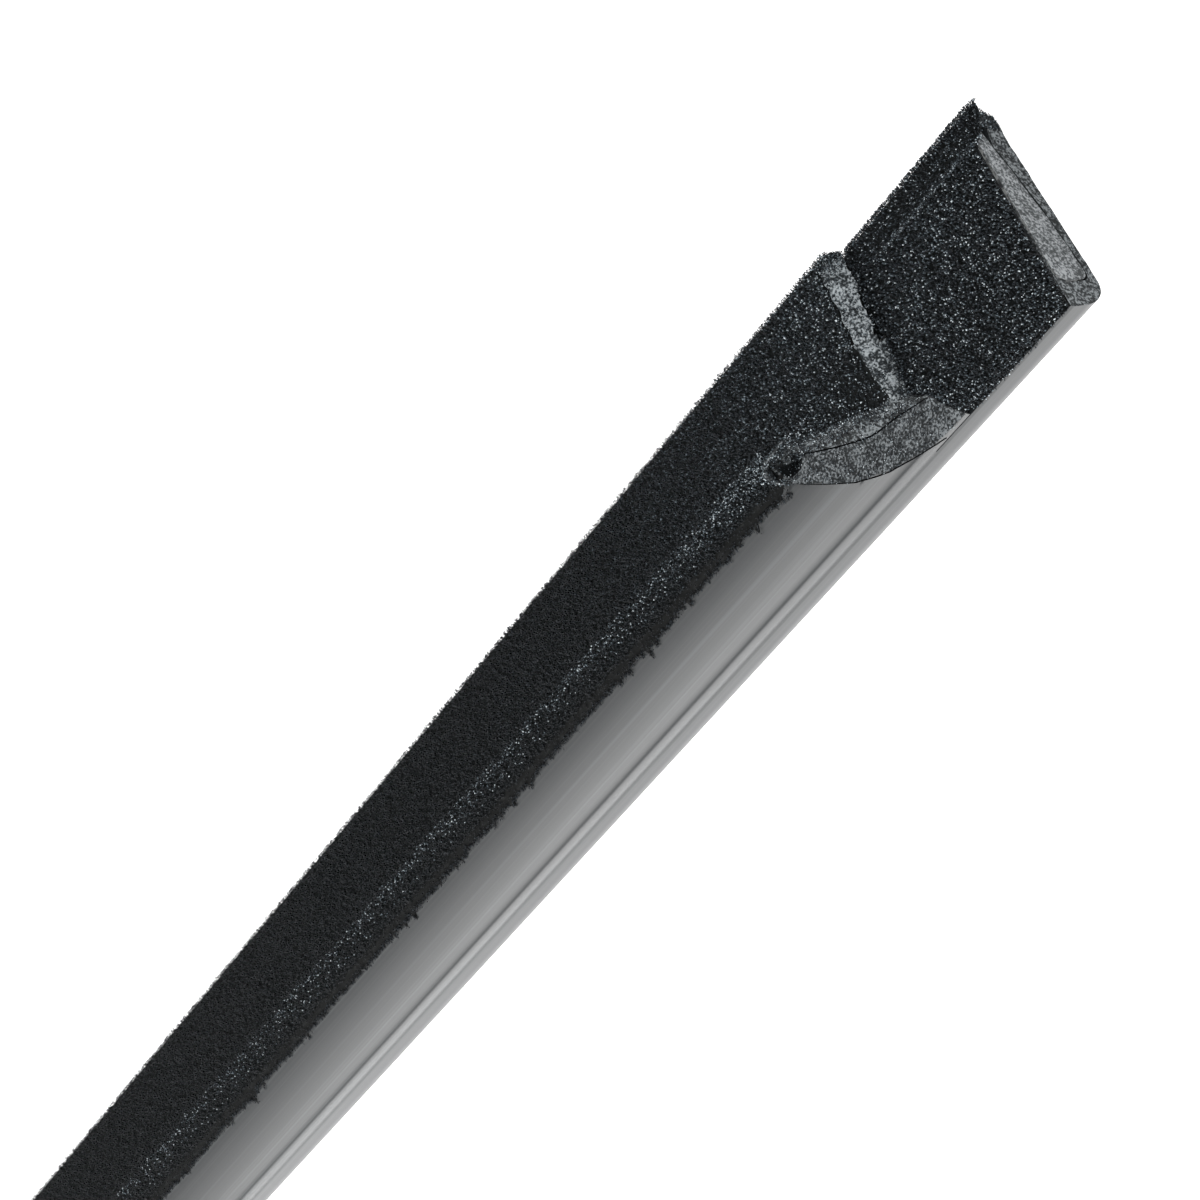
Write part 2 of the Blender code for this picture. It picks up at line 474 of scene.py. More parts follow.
@dataclass(frozen=True)
class FlockFibre(Finish):
    """Cut nylon fibres, each with its own shade: near black, with painted glints where a few fibres are coloured
    pale.
    """

    def pattern(self, tree: bpy.types.NodeTree, shader: bpy.types.Node) -> None:
        """Each fibre's shade runs from black to pale grey; the pale end is painted glint.

        Args:
            tree: the material's node tree.
            shader: its shader.
        """
        shade = add_node(tree, "ShaderNodeAttribute", {"attribute_name": "shade"})
        # The two pale stops are painted highlights: the glints of fibres set pale in Pile.frames.
        stops = ((0.0, "#0A0D0F"), (0.4, self.colour), (0.75, "#5C666C"), (1.0, "#C8D0D4"))
        tree.links.new(ramp(tree, shade.outputs["Fac"], stops), shader.inputs["Base Color"])


@dataclass(frozen=True)
class FlockBed(Finish):
    """The adhesive that flock stands in: black and bumpy, so that the gaps between fibres look deep; its black is
    partly painted shade for those gaps.
    """

    def pattern(self, tree: bpy.types.NodeTree, shader: bpy.types.Node) -> None:
        """Small dark bumps.

        Args:
            tree: the material's node tree.
            shader: its shader.
        """
        fine = self.noise(tree, (0.25, 0.25, 0.25), 3.0)
        stops = ((0.35, "#040505"), (0.6, self.colour))
        tree.links.new(ramp(tree, fine, stops), shader.inputs["Base Color"])
        self.bump(tree, shader, fine, 0.08)


@dataclass(frozen=True)
class AdhesiveFilm(Finish):
    """Dried flocking adhesive: a dull black film to the eye, smoother than the flock beside it."""

    def pattern(self, tree: bpy.types.NodeTree, shader: bpy.types.Node) -> None:
        """Lumps and streaks where it dried.

        Args:
            tree: the material's node tree.
            shader: its shader.
        """
        lumps = self.noise(tree, (0.9, 0.35, 0.35), 4.0)
        stops = ((0.38, "#070808"), (0.55, self.colour), (0.7, "#191A1A"))
        tree.links.new(ramp(tree, lumps, stops), shader.inputs["Base Color"])
        self.bump(tree, shader, lumps, 0.05)


def arc(centre: Point, radius: Point, start: float, stop: float, steps: int) -> list[Point]:
    """Points on an ellipse's arc.

    Args:
        centre: its centre.
        radius: its half-width and half-height.
        start: the first angle, in degrees.
        stop: the last angle.
        steps: how many stretches it has.

    Returns:
        The points.
    """
    angles = np.radians(np.linspace(start, stop, steps + 1))
    return [(centre[0] + radius[0] * math.cos(x), centre[1] + radius[1] * math.sin(x)) for x in angles]


def ripple(point: Vector, period_mm: float, seed: float = 0.0) -> float:
    """Smooth noise from -1 to 1, with grains of period_mm."""
    return noise.noise(point / (period_mm * MM) + Vector((seed, seed * 1.7, -seed)))


def thicken(bm: bmesh.types.BMesh, shift: Vector) -> None:
    """Turns a sheet into a closed solid, by a copy of it that is moved by a shift in millimetres."""
    grown = bmesh.ops.extrude_face_region(bm, geom=list(bm.faces))
    moved = [v for v in grown["geom"] if isinstance(v, bmesh.types.BMVert)]
    bmesh.ops.translate(bm, verts=moved, vec=shift * MM)
    bmesh.ops.recalc_face_normals(bm, faces=bm.faces)


def prism(name: str, outline: Sequence[Point], near: float, far: float, steps: int = 1) -> bpy.types.Object:
    """A closed solid of one section along the strip.

    Args:
        name: the object's name.
        outline: the section, as (across, up).
        near: distance from the tip to its near end.
        far: distance from the tip to its far end.
        steps: how many lengths its sides are divided into.

    Returns:
        The new object, in the scene.
    """
    bm = bmesh.new()
    bm.faces.new([bm.verts.new(SECTION.place(near, a, u)) for a, u in outline])
    thicken(bm, Vector((near - far, 0, 0)))
    if steps > 1:
        long = [e for e in bm.edges if abs(e.verts[0].co.x - e.verts[1].co.x) > 1e-6]
        bmesh.ops.subdivide_edges(bm, edges=long, cuts=steps - 1, use_grid_fill=True)
    return store(name, bm)


def store(name: str, bm: bmesh.types.BMesh) -> bpy.types.Object:
    """Writes a bmesh to a new object in the scene.

    Args:
        name: the object's name.
        bm: the bmesh, which is freed.

    Returns:
        The object.
    """
    mesh = bpy.data.meshes.new(name)
    bm.to_mesh(mesh)
    bm.free()
    obj = bpy.data.objects.new(name, mesh)
    bpy.context.scene.collection.objects.link(obj)
    return obj


def tag_faces(obj: bpy.types.Object, skin: Skin) -> bpy.types.Object:
    """Gives every face of a piece one material slot, and returns the piece."""
    for _ in Skin:
        obj.data.materials.append(None)
    obj.data.polygons.foreach_set("material_index", [skin.value] * len(obj.data.polygons))
    return obj


def carve(obj: bpy.types.Object, cutters: Iterable[bpy.types.Object]) -> bpy.types.Object:
    """Cuts solids out of a piece, one at a time.

    Args:
        obj: the piece.
        cutters: the solids, which are removed.

    Returns:
        The piece.
    """
    for cutter in cutters:
        cut = obj.modifiers.new(cutter.name, "BOOLEAN")
        cut.operation = "DIFFERENCE"
        cut.solver = "EXACT"
        cut.object = cutter
        cut.material_mode = "INDEX"
        bpy.context.view_layer.update()
        graph = bpy.context.evaluated_depsgraph_get()
        mesh = bpy.data.meshes.new_from_object(obj.evaluated_get(graph))
        obj.modifiers.clear()
        obj.data = mesh
        mesh.name = obj.name
        log.info("%s cut by %s: %d faces", obj.name, cutter.name, len(mesh.polygons))
        bpy.data.objects.remove(cutter)
    return obj


def smooth(obj: bpy.types.Object, degrees: float = 30.0) -> None:
    """Shades a piece smooth, with creases where it turns sharply."""
    obj.data.shade_smooth()
    obj.data.set_sharp_from_angle(angle=math.radians(degrees))


def height_cutter(
    name: str, floor: Callable[[float, float], float], near: float, far: float, across: Point, pitch: float
) -> bpy.types.Object:
    """A solid above a surface, for cutting down to it.

    Args:
        name: the cutter's name.
        floor: the surface's height at a distance from the tip and a place across.
        near: its near end's distance from the tip.
        far: its far end's distance from the tip.
        across: where it starts and ends across the strip.
        pitch: the spacing of its points.

    Returns:
        The cutter.
    """
    bm = bmesh.new()
    long, wide = far - near, across[1] - across[0]
    bmesh.ops.create_grid(bm, x_segments=round(long / pitch), y_segments=round(wide / pitch), size=0.5)
    for v in bm.verts:
        from_tip = near + (v.co.x + 0.5) * long
        at = across[0] + (v.co.y + 0.5) * wide
        v.co = SECTION.place(from_tip, at, floor(from_tip, at))
    grown = bmesh.ops.extrude_face_region(bm, geom=list(bm.faces))
    for v in grown["geom"]:
        if isinstance(v, bmesh.types.BMVert):
            v.co.z = (SECTION.height + 4.0) * MM
    bmesh.ops.recalc_face_normals(bm, faces=bm.faces)
    return tag_faces(store(name, bm), Skin.CUT)


def rough_cutter(
    name: str,
    reach: Callable[[float, float], float],
    low: Callable[[float], float],
    high: float,
    across: Point,
    rough: float,
    seed: float,
    pitch: float = 0.14,
) -> bpy.types.Object:
    """A solid beyond a rough face that crosses the strip, for cutting an end to it.

    Args:
        name: the cutter's name.
        reach: the face's distance from the tip, at a place across and a height.
        low: the height of its lower edge, at a place across.
        high: the height of its upper edge.
        across: where it starts and ends across the strip.
        rough: how far its grain stands out, in millimetres.
        seed: what sets its grain apart from the others'.
        pitch: the spacing of its points.

    Returns:
        The cutter.
    """
    bm = bmesh.new()
    wide, tall = across[1] - across[0], high - low(across[0])
    bmesh.ops.create_grid(bm, x_segments=round(wide / pitch), y_segments=round(tall / pitch), size=0.5)
    for v in bm.verts:
        at = across[0] + (v.co.x + 0.5) * wide
        up = low(at) + (v.co.y + 0.5) * (high - low(at))
        spot = SECTION.place(0.0, at, up)
        grain = ripple(spot, 0.7, seed) + 0.6 * ripple(spot, 0.28, seed + 9) + 1.4 * ripple(spot, 1.9, seed + 3)
        v.co = SECTION.place(float(reach(at, up)) + rough * grain, at, up)
    thicken(bm, Vector((30, 0, 0)))
    return tag_faces(store(name, bm), Skin.CUT)


def wall_cutter(across: Point, low: Callable[[float], float]) -> bpy.types.Object:
    """The cutter for one stretch of the knife's cut. Its grain is one with the other stretches'."""
    return rough_cutter("wall", WALL.reach, low, 6.6, across, 0.16, 4.0, 0.12)


def sweep(name: str, rings: Sequence[Sequence[Vector]]) -> bpy.types.Object:
    """A closed solid through rings.

    Args:
        name: the object's name.
        rings: each ring's points, of which all have the same number.

    Returns:
        The solid.
    """
    bm = bmesh.new()
    face = bm.faces.new([bm.verts.new(p) for p in rings[0]])
    for i, ring in enumerate(rings[1:]):
        last = face
        new = bmesh.ops.extrude_face_region(bm, geom=[last])
        face = next(item for item in new["geom"] if isinstance(item, bmesh.types.BMFace))
        if i > 0:
            bmesh.ops.delete(bm, geom=[last], context="FACES_ONLY")
        for v, p in zip(face.verts, ring):
            v.co = p
    bmesh.ops.recalc_face_normals(bm, faces=bm.faces)
    return store(name, bm)


def bed(
    name: str,
    near: Callable[[float], float],
    far: Callable[[float], float],
    across: Point,
    up: Callable[[float], float],
    pitch: float,
    thick: float = 0.14,
) -> bpy.types.Object:
    """A thin bumpy mat that flock stands in.

    Args:
        name: the object's name.
        near: its near edge's distance from the tip, at a place across.
        far: its far edge's distance from the tip, at a place across.
        across: where it starts and ends across the strip.
        up: its height, at a place across.
        pitch: the spacing of its points along the strip.
        thick: its thickness.

    Returns:
        The mat.
    """
    bm = bmesh.new()
    wide = across[1] - across[0]
    long = far(across[0]) - near(across[0])
    bmesh.ops.create_grid(bm, x_segments=round(long / pitch), y_segments=max(4, round(wide / 0.25)), size=0.5)
    for v in bm.verts:
        at = across[0] + (v.co.y + 0.5) * wide
        start = near(at)
        from_tip = start + (v.co.x + 0.5) * (far(at) - start)
        spot = SECTION.place(from_tip, at, up(at))
        v.co = spot + Vector((0, 0, 0.035 * ripple(spot, 0.45, 6.0))) * MM
    thicken(bm, Vector((0, 0, -thick)))
    mat = store(name, bm)
    smooth(mat, 60)
    return mat


def slice_up(obj: bpy.types.Object, near: float, far: float, pitch: float) -> None:
    """Divides a piece's long faces, so that each stretch can have its own slot.

    Args:
        obj: the piece.
        near: the first cut's distance from the tip.
        far: the last cut's.
        pitch: how far apart the cuts are.
    """
    bm = bmesh.new()
    bm.from_mesh(obj.data)
    for i in range(round((far - near) / pitch) + 1):
        plane = SECTION.place(near + i * pitch, 0.0, 0.0)
        geom = [*bm.verts, *bm.edges, *bm.faces]
        bmesh.ops.bisect_plane(bm, geom=geom, dist=1e-7, plane_co=plane, plane_no=(1, 0, 0))
    bm.to_mesh(obj.data)
    bm.free()


def retag(obj: bpy.types.Object, skin: Skin, choose: Callable[[float, float, float, Vector], bool]) -> None:
    """Moves a piece's faces to another slot where choose says so.

    Args:
        obj: the piece.
        skin: the slot.
        choose: takes a face's distance from the tip, its place across, its height and its normal.
    """
    for face in obj.data.polygons:
        c = face.center / MM
        if choose(SECTION.tip - c.x, SECTION.width / 2 - c.y, c.z, face.normal):
            face.material_index = skin.value


def finish_piece(
    obj: bpy.types.Object,
    body: Body | None,
    nodes: Sequence[str],
    materials: Sequence[bpy.types.Material],
) -> None:
    """Dresses a piece, sets it riding and hides the CAD nodes it stands for.

    Args:
        obj: the piece.
        body: what it rides on. With None it rides on neither and stays where it is.
        nodes: the CAD nodes it stands for.
        materials: its materials, in the order of its slots.
    """
    used = np.zeros(len(obj.data.polygons), np.int32)
    obj.data.polygons.foreach_get("material_index", used)
    obj.data.materials.clear()
    for material in materials:
        obj.data.materials.append(material)
    used = used.clip(max=len(materials) - 1)
    obj.data.polygons.foreach_set("material_index", used)
    if body is None:
        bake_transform(obj)
    else:
        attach(obj, body.value)
    if nodes:
        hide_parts(*nodes)
    log.info("%s: %d faces, by finish %s", obj.name, len(used), np.bincount(used).tolist())


@dataclass
class Patch:
    """A stretch of surface that flock stands on.

    Args:
        spot: turns two shares from 0 to 1 into places, as distance from the tip, across and up, and into the
            ways the fibres stand there.
        area: in square millimetres.
        keep: says whether flock stands at a place.
        bright: the share of fibres painted pale as painted glints.
        density: how thick the flock is beside the pile's own.
        lean: how far fibres may lean, in degrees.
        length: how long they are beside the pile's own.
        thick: how thick they are beside the pile's own.
        fade: how far its painted glints thin out, and its fibres darken, towards the strip's far end.
    """

    spot: Callable[[Array, Array], Spots]
    area: float
    keep: Callable[[Array], Array] = lambda spots: np.ones(len(spots), bool)
    bright: float = 0.1
    density: float = 1.0
    lean: float = 38.0
    length: float = 1.0
    thick: float = 1.0
    fade: float = 0.0


def stack(*columns: Number) -> Array:
    """Puts columns side by side, each an array or one value for all."""
    return np.stack(np.broadcast_arrays(*columns), axis=1).astype(float)


def measure(what: Any, share: Array, *known: Array) -> Number:
    """A measure of a patch, part of the way along it.

    Args:
        what: a number, a function of the measures known, or a pair of either to go between.
        share: how far to go from the first of the pair to the second.
        known: the measures found before this one.

    Returns:
        The measure at each spot.
    """
    if isinstance(what, tuple):
        start, stop = (measure(end, share, *known) for end in what)
        return start + (stop - start) * share
    return what(*known) if callable(what) else what


def lying(
    along: Any, across: Any, up: Any, stand: Sequence[float], gather: Point = (1.0, 1.0)
) -> Callable[[Array, Array], Spots]:
    """The spots of a patch that lies along the strip.

    Args:
        along: distances from the tip.
        across: places across, or functions of the distance.
        up: heights, or functions of the distance and the place across.
        stand: the way the fibres stand.
        gather: powers that gather the fibres towards the start of along and across.

    Returns:
        The patch's spot function.
    """

    def spot(a: Array, b: Array) -> Spots:
        """Each fibre's place and the way it stands, from two shares."""
        from_tip = measure(along, a ** gather[0])
        at = measure(across, b ** gather[1], from_tip)
        high = measure(up, b ** gather[1], from_tip, at)
        return stack(from_tip, at, high), stack(0.0 * a + stand[0], *stand[1:])

    return spot


def facing(
    across: Any, up: Any, reach: Callable, stand: Sequence[float], deep: Any = 0.0, gather: float = 1.0
) -> Callable[[Array, Array], Spots]:
    """The spots of a patch on a face that crosses the strip.

    Args:
        across: places across.
        up: heights, or functions of the place across.
        reach: the face's distance from the tip, at a place across and a height.
        stand: the way the fibres stand.
        deep: how far behind the face they are.
        gather: a power that gathers the fibres towards the start of up.

    Returns:
        The patch's spot function.
    """

    def spot(a: Array, b: Array) -> Spots:
        """Each fibre's place and the way it stands, from two shares."""
        at = measure(across, a)
        high = measure(up, b**gather, at)
        return stack(reach(at, high) + measure(deep, b), at, high), stack(0.0 * a + stand[0], *stand[1:])

    return spot


@dataclass
class Pile:
    """Flock fibres on a set of patches, made as one mesh.

    A fibre is drawn about three times as thick as real flock, so far fewer fill the coat.

    Args:
        patches: where the fibres stand.
        seed: sets the random draws.
        per_mm2: fibres to a square millimetre.
        length: a fibre's length in millimetres.
        thick: its thickness at the tip.
    """

    patches: list[Patch]
    seed: int
    per_mm2: float = 60.0
    length: float = 0.3
    thick: float = 0.095

    def fibre(self) -> tuple[Array, Array]:
        """One fibre: a slim three-sided cone on its point, 1 unit long.

        Returns:
            Its points and its triangles.
        """
        bm = bmesh.new()
        shape = Matrix.Translation((0, 0, 0.5))
        bmesh.ops.create_cone(
            bm, cap_ends=True, cap_tris=True, segments=3, radius1=0.0, radius2=0.5, depth=1.0, matrix=shape
        )
        bmesh.ops.remove_doubles(bm, verts=bm.verts, dist=1e-5)
        bmesh.ops.triangulate(bm, faces=bm.faces)
        bmesh.ops.recalc_face_normals(bm, faces=bm.faces)
        points = np.array([v.co for v in bm.verts])
        faces = np.array([[v.index for v in f.verts] for f in bm.faces])
        bm.free()
        return points, faces

    def frames(self, rng: np.random.Generator, patch: Patch) -> tuple[Array, Array, Array]:
        """Draws one patch's fibres.

        Args:
            rng: the pile's random draws.
            patch: the patch.

        Returns:
            Each fibre's root, its three axes with its size in them, and its shade.
        """
        count = int(patch.area * self.per_mm2 * patch.density)
        roots, normals = patch.spot(rng.random(count), rng.random(count))
        kept = patch.keep(roots)
        roots, normals = roots[kept], normals[kept]
        count = len(roots)
        normals = normals * (-1.0, -1.0, 1.0)
        normals /= np.linalg.norm(normals, axis=1)[:, None]
        aside = np.cross(normals, rng.normal(size=(count, 3)))
        aside /= np.linalg.norm(aside, axis=1)[:, None]
        tilt = np.radians(patch.lean) * np.sqrt(rng.random(count))[:, None]
        up = normals * np.cos(tilt) + aside * np.sin(tilt)
        a = np.cross(up, rng.normal(size=(count, 3)))
        a /= np.linalg.norm(a, axis=1)[:, None]
        b = np.cross(up, a)
        long = self.length * patch.length * (0.7 + 0.5 * rng.random(count))
        wide = self.thick * patch.thick * (0.6 + 0.8 * rng.random(count))
        axes = np.stack([a * wide[:, None], b * wide[:, None], up * long[:, None]], axis=1)
        # Most fibres get a random dark tone of their own; a share set by bright is painted pale as painted glints,
        # and a quarter of those near white as painted highlights.
        draw = rng.random(count)
        shade = 0.45 * rng.random(count)
        # Fading patches thin out their painted glints, and darken, towards the far end.
        gone = np.interp(roots[:, 0], (16.0, 50.0, 130.0), (0.0, 0.8, 1.0))
        share = patch.bright * (1 - patch.fade * gone)
        painted_glint = draw < share
        shade[painted_glint] = 0.5 + 0.35 * rng.random(int(painted_glint.sum()))
        spark = draw < share * 0.25
        shade[spark] = 0.88 + 0.12 * rng.random(int(spark.sum()))
        shade *= 1 - 0.7 * gone * (patch.fade > 0)
        places = stack(SECTION.tip - roots[:, 0], SECTION.width / 2 - roots[:, 1], roots[:, 2])
        return places, axes, shade

    def build(self, name: str) -> bpy.types.Object:
        """Places every fibre.

        Args:
            name: the object's name.

        Returns:
            The pile, as one object.
        """
        rng = np.random.default_rng(self.seed)
        points, faces = self.fibre()
        parts = [self.frames(rng, patch) for patch in self.patches]
        places, axes, shade = (np.concatenate(group) for group in zip(*parts))
        all_points = (places[:, None, :] + np.einsum("pk,nkj->npj", points, axes)) * MM
        offsets = np.arange(len(places))[:, None, None] * len(points)
        all_faces = (faces[None] + offsets).reshape(-1, 3)
        mesh = bpy.data.meshes.new(name)
        mesh.vertices.add(len(places) * len(points))
        mesh.vertices.foreach_set("co", all_points.astype(np.float32).ravel())
        mesh.loops.add(all_faces.size)
        mesh.loops.foreach_set("vertex_index", all_faces.astype(np.int32).ravel())
        mesh.polygons.add(len(all_faces))
        mesh.polygons.foreach_set("loop_start", np.arange(0, all_faces.size, 3, dtype=np.int32))
        mesh.update(calc_edges=True)
        mesh.validate()
        # Each fibre is painted darker at its root and lighter at its tip: painted shade down into the pile and a
        # painted highlight at the tip.
        tip = points[:, 2] * 0.8 + 0.2
        layer = mesh.attributes.new("shade", "FLOAT", "POINT")
        layer.data.foreach_set("value", (shade[:, None] * tip[None]).astype(np.float32).ravel())
        obj = bpy.data.objects.new(name, mesh)
        bpy.context.scene.collection.objects.link(obj)
        return obj


def grow_flock(
    name: str,
    patches: list[Patch],
    seed: int,
    body: Body | None,
    fibre: bpy.types.Material,
    per_mm2: float = 60.0,
) -> None:
    """Grows a pile on its patches and dresses it.

    Args:
        name: the piece's name.
        patches: where its fibres stand.
        seed: sets its random draws.
        body: what it rides on. With None it rides on neither and stays where it is.
        fibre: its material.
        per_mm2: fibres to a square millimetre.
    """
    finish_piece(Pile(patches, seed, per_mm2).build(name), body, [], [fibre])


def made(finish: Finish) -> Any:
    """A dataclass field that makes a finish's material."""
    return field(default_factory=finish.material)


@dataclass
class Finishes:
    """Every material on the strip, made once."""

    skin: bpy.types.Material = made(ExtrudedRubber("epdm_rubber_extruded", "#1D1F20", 0.4))
    cut: bpy.types.Material = made(
        CutRubber("epdm_rubber_knife_cut", "#313436", 0.85, 0.25, "#676B6D", "#131617", grain_mm=0.17)
    )
    # The notch's steep flank: the same knife-cut rubber, lumpier, and painted darker as painted shade.
    flank: bpy.types.Material = made(
        CutRubber("epdm_rubber_torn_flank_painted_shade", "#292C2D", 0.9, 0.2, "#5C6062", "#0E1011", grain_mm=0.2, blotch=0.55)
    )
    # The cut ends of the lip and the root: the same knife-cut rubber, painted lighter as painted light where they
    # face the fill light.
    band: bpy.types.Material = made(
        CutRubber("epdm_lip_knife_cut_painted_light", "#52575A", 0.85, 0.25, "#9AA0A3", "#1C2022", blotch=0.6)
    )
    core_skin: bpy.types.Material = made(
        CutRubber("rigid_pvc_core_extruded", "#5A5C5D", 0.6, 0.4, grain_mm=0.3)
    )
    core_cut: bpy.types.Material = made(
        CutRubber("rigid_pvc_core_knife_cut", "#505355", 0.75, 0.3, "#7B7E80", "#2E3132")
    )
    fibre: bpy.types.Material = made(FlockFibre("nylon_flock_fibres", "#1A2126", 0.6, 0.25))
    bed: bpy.types.Material = made(FlockBed("flocking_adhesive_bed_and_shade", "#0E1112", 0.9, 0.1))
    film: bpy.types.Material = made(AdhesiveFilm("flocking_adhesive_dried_film", "#0B0C0C", 0.8, 0.1))


@dataclass
class StripBase:
    """The rubber base, its stiff core, and the flock and adhesive on them.

    Args:
        finishes: the materials.
        core_left: where the core starts across.
        core_right: where it ends.
        clear: the gap round it.
        flock_right: where the ledge's flock ends across.
        sunk: how far a mat lies below the top of its flock.
        drawn: how far the knife drew the free edge out at the tip.
        root_left: where the flock right of the ridge starts across.
    """

    finishes: Finishes
    core_left: float = 1.2
    core_right: float = 13.1
    clear: float = 0.12
    flock_right: float = 14.6
    sunk: float = 0.2
    drawn: float = 1.45
    root_left: float = 6.68

    def outline(self) -> list[Point]:
        """The rubber's section, with a plain wall where the lip's web joins it."""
        s = SECTION
        points = arc((1.03, 0.6), (0.6, 0.6), 180, 270, 8)
        points += arc((13.4, 2.3), (1.6, 2.3), -90, 0, 24)
        points += arc((s.side_edge, s.round_up), s.round_size, 0, 80, 14)
        steps = 60
        for i in range(steps + 1):
            across = s.side_edge + (s.wall_left - s.side_edge) * i / steps
            points.append((across, s.side(across)))
        points += [(s.wall_left, s.ledge_rubber(s.wall_left)), (s.under, s.ledge_rubber(s.under))]
        return points

    def core_outline(self, grow: float) -> list[Point]:
        """The core's section.

        Args:
            grow: how far it is grown, for the pocket that holds it.

        Returns:
            Its points.
        """
        top = self.clear - grow * 1.4
        right = self.core_right + grow
        points = [(self.core_left - grow, 1.9 - grow)]
        points += [(4.6, 1.3 - grow), (7.2, 0.95 - grow), (10.5, 0.68 - grow)]
        points += arc((right - 0.6, 1.25 - grow), (0.6, 0.6), -90, 0, 8)
        points += arc((right - 0.95, 2.47 - top), (0.95, 0.95), 0, 85, 16)
        points += [(self.core_left - grow, SECTION.ledge_rubber(self.core_left) - top)]
        return points

    def tip_reach(self, across: Number, up: Number) -> Number:
        """The rubber's end: square, but drawn out at its free edge, where the knife dragged it."""
        share = np.maximum(0.0, 1.0 - across / 2.6) * (0.15 + 0.85 * np.clip(up / 2.9, 0.0, 1.0))
        return -self.drawn * share

    def notch_path(self, from_tip: float, across: float) -> float:
        """Height of the notch's faces, with the knife's fine chatter."""
        spot = SECTION.place(from_tip, across, 0.0)
        grains = ((0.035, 0.6, 3.0), (0.022, 0.24, 5.0), (0.07, 1.3, 8.0))
        chatter = sum(deep * ripple(spot, wide, seed) for deep, wide, seed in grains)
        return NOTCH.floor(from_tip, across) + chatter

    def groove(
        self,
        name: str,
        near: float,
        far: float,
        path: Callable[[float], tuple[float, float, float]],
        size: Point,
    ) -> bpy.types.Object:
        """A cutter for a thin groove, which closes towards both ends. Its walls take the black bed's slot: painted
        shade.

        Args:
            name: the cutter's name.
            near: its near end's distance from the tip.
            far: its far end's.
            path: its place across, its top and its bottom, at a distance from the tip.
            size: its half-width at its ends, and what is added in the middle.

        Returns:
            The cutter.
        """
        steps = 60
        rings = []
        for i in range(steps + 1):
            from_tip = near + (far - near) * i / steps
            at, top, bottom = path(from_tip)
            half = size[0] + size[1] * math.sin(math.pi * (0.05 + 0.9 * i / steps)) ** 0.5
            corners = ((at - half, top), (at + half, top), (at + half, bottom), (at - half, bottom))
            rings.append([SECTION.place(from_tip, a, u) for a, u in corners])
        return tag_faces(sweep(name, rings), Skin.ADHESIVE_AND_SHADE)

    def slit_path(self, from_tip: float) -> tuple[float, float, float]:
        """The slit that the knife left along the notch's bottom, painted black as painted shade."""
        _, bottom, depth, _ = NOTCH.at(from_tip)
        return bottom + 0.12 * ripple(Vector((from_tip, 0, 0)) * MM, 2.4), depth + 1.5, depth - 0.3

    def overrun_path(self, from_tip: float) -> tuple[float, float, float]:
        """The thin line where the knife overran the facet's lower edge, painted black as painted shade.

        Args:
            from_tip: distance from the tip.

        Returns:
            Its place across, its top and its bottom.
        """
        s = SECTION
        right = NOTCH.at(from_tip)[3] + 0.06 + 0.05 * ripple(Vector((from_tip, 3, 0)) * MM, 1.6)
        share = max(0.0, right - s.side_edge) / s.round_size[0]
        rounded = s.round_up + s.round_size[1] * math.sqrt(max(0.0, 1 - share**2))
        top = s.side(right) if right < s.side_edge else rounded
        return right, top + 1.0, top - 0.14

    def build_rubber(self) -> None:
        """Extrudes the rubber and cuts it as the knife did."""
        s, f = SECTION, self.finishes
        rubber = tag_faces(prism("base_rubber", self.outline(), -2.5, s.length), Skin.MOULDED)
        pocket = tag_faces(prism("pocket", self.core_outline(self.clear), -3.0, s.length + 1), Skin.MOULDED)
        notch = height_cutter("notch", self.notch_path, 9.0, 28.8, (6.3, 15.9), 0.1)
        over = lambda a: s.ledge_rubber(a) + 0.004
        wall = wall_cutter((6.5, 16.4), over)
        end = rough_cutter("end", self.tip_reach, lambda a: -0.8, 6.1, (-0.9, 16.2), 0.03, 2.0)
        shelf = rough_cutter("shelf", lambda a, u: 9.8, over, 6.6, (-0.9, 16.4), 0.0, 4.0, 0.5)
        slit = self.groove("slit", 13.2, 24.9, self.slit_path, (0.015, 0.05))
        knife_line = self.groove("knife_line", 13.6, 25.4, self.overrun_path, (0.02, 0.035))
        carve(rubber, [pocket, shelf, wall, notch, slit, knife_line, end])
        slice_up(rubber, 15.0, 27.5, 0.5)
        retag(rubber, Skin.CUT, lambda t, a, u, n: n.x < -0.9 and t > s.length - 0.01)
        retag(rubber, Skin.ADHESIVE_AND_SHADE, self.flocked)
        retag(rubber, Skin.FLANK, self.torn)
        retag(rubber, Skin.BAND, self.faces_tip)
        smooth(rubber, 32)
        finish_piece(rubber, Body.BASE, ["rubber_base"], [f.skin, f.cut, f.bed, f.flank, f.band])

    def faces_tip(self, from_tip: float, across: float, up: float, normal: Vector) -> bool:
        """Whether a place on the rubber is on the root's cut end, which faces the tip and is painted lighter as
        painted light.
        """
        return 12.5 < from_tip < 16.5 and across < 11.5 and normal.x > 0.6 and up > SECTION.ledge(across) - 0.3

    def torn(self, from_tip: float, across: float, up: float, normal: Vector) -> bool:
        """Whether a place on the rubber is on the notch's steep, torn flank, whose colour is painted darker as
        painted shade.
        """
        left, bottom, _, _ = NOTCH.at(from_tip)
        steep = 0.3 < normal.z < 0.97 and normal.y < -0.3
        return 12 < from_tip < 27.3 and left - 0.3 < across < bottom and steep

    def flocked(self, from_tip: float, across: float, up: float, normal: Vector) -> bool:
        """Whether a place is dark: with adhesive on the root's top and the ledge's rounding, and with painted shade
        in the pocket.

        Args:
            from_tip: distance from the tip.
            across: place across.
            up: height.
            normal: the way the face looks.

        Returns:
            True if it is.
        """
